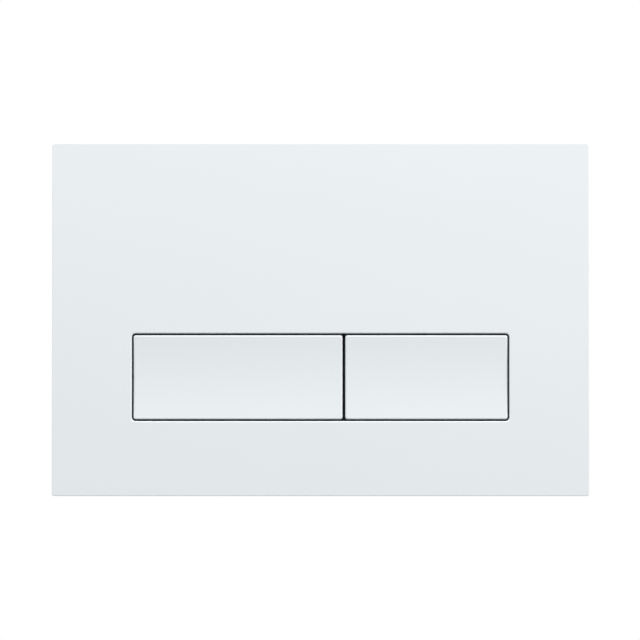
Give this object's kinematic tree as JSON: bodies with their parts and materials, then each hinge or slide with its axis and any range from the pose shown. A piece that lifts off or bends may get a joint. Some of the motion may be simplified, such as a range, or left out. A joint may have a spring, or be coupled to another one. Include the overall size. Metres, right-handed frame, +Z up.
{
  "type": "flush button plate",
  "caption": "Rectangular white dual flush plate for a concealed cistern, with a wide full flush button and a narrower half flush button side by side in its lower half.",
  "frame": {"origin": "in the wall plane, behind the middle of the front plate", "axes": "+X to the right seen from the front, +Z up, +Y into the wall; the buttons face -Y"},
  "size_m": [0.246, 0.0748, 0.1616],
  "materials": {
    "white_plastic": "satin white moulding",
    "carrier_plastic": "matt black moulding",
    "frame_plastic": "matt grey moulding",
    "rod_plastic": "natural white nylon",
    "steel": "drawn stainless",
    "screw_steel": "zinc plated",
    "rubber": "matt black rubber"
  },
  "bodies": {
    "plate": {"front_plate": "white_plastic", "button_carrier": "carrier_plastic", "carrier_screws": "screw_steel", "full_hinge_axle": "steel", "half_hinge_axle": "steel", "full_return_spring": "steel", "half_return_spring": "steel", "full_button_buffers": "rubber", "half_button_buffers": "rubber", "mounting_frame": "frame_plastic", "left_fixing_stud": "rod_plastic", "right_fixing_stud": "rod_plastic", "left_thumb_nut": "frame_plastic", "right_thumb_nut": "frame_plastic"},
    "full_button": {"full_flush_button": "white_plastic", "full_button_lever": "carrier_plastic"},
    "half_button": {"half_flush_button": "white_plastic", "half_button_lever": "carrier_plastic"},
    "full_rod": {"full_push_rod": "rod_plastic", "full_rod_head": "frame_plastic"},
    "half_rod": {"half_push_rod": "rod_plastic", "half_rod_head": "frame_plastic"}
  },
  "joints": [
    {"name": "full_button_press", "type": "hinge", "parent": "plate", "child": "full_button", "pos_m": [-0.0378, -0.0045, -0.00165], "axis": [1, 0, 0], "range_deg": [0, 8], "stiffness_Nm_per_rad": 0.64, "springref_deg": -5.39, "deforming": ["full_return_spring"]},
    {"name": "half_button_press", "type": "hinge", "parent": "plate", "child": "half_button", "pos_m": [0.0485, -0.0045, -0.00165], "axis": [1, 0, 0], "range_deg": [0, 8], "stiffness_Nm_per_rad": 0.64, "springref_deg": -5.39, "deforming": ["half_return_spring"]},
    {"name": "full_rod_slide", "type": "slide", "parent": "plate", "child": "full_rod", "axis": [0, 1, 0], "range_m": [0, 0.0049]},
    {"name": "half_rod_slide", "type": "slide", "parent": "plate", "child": "half_rod", "axis": [0, 1, 0], "range_m": [0, 0.0049]}
  ],
  "couplings": [
    {"joint": "full_rod_slide", "follows": "full_button_press", "m_per_rad": 0.03473},
    {"joint": "half_rod_slide", "follows": "half_button_press", "m_per_rad": 0.03473}
  ]
}
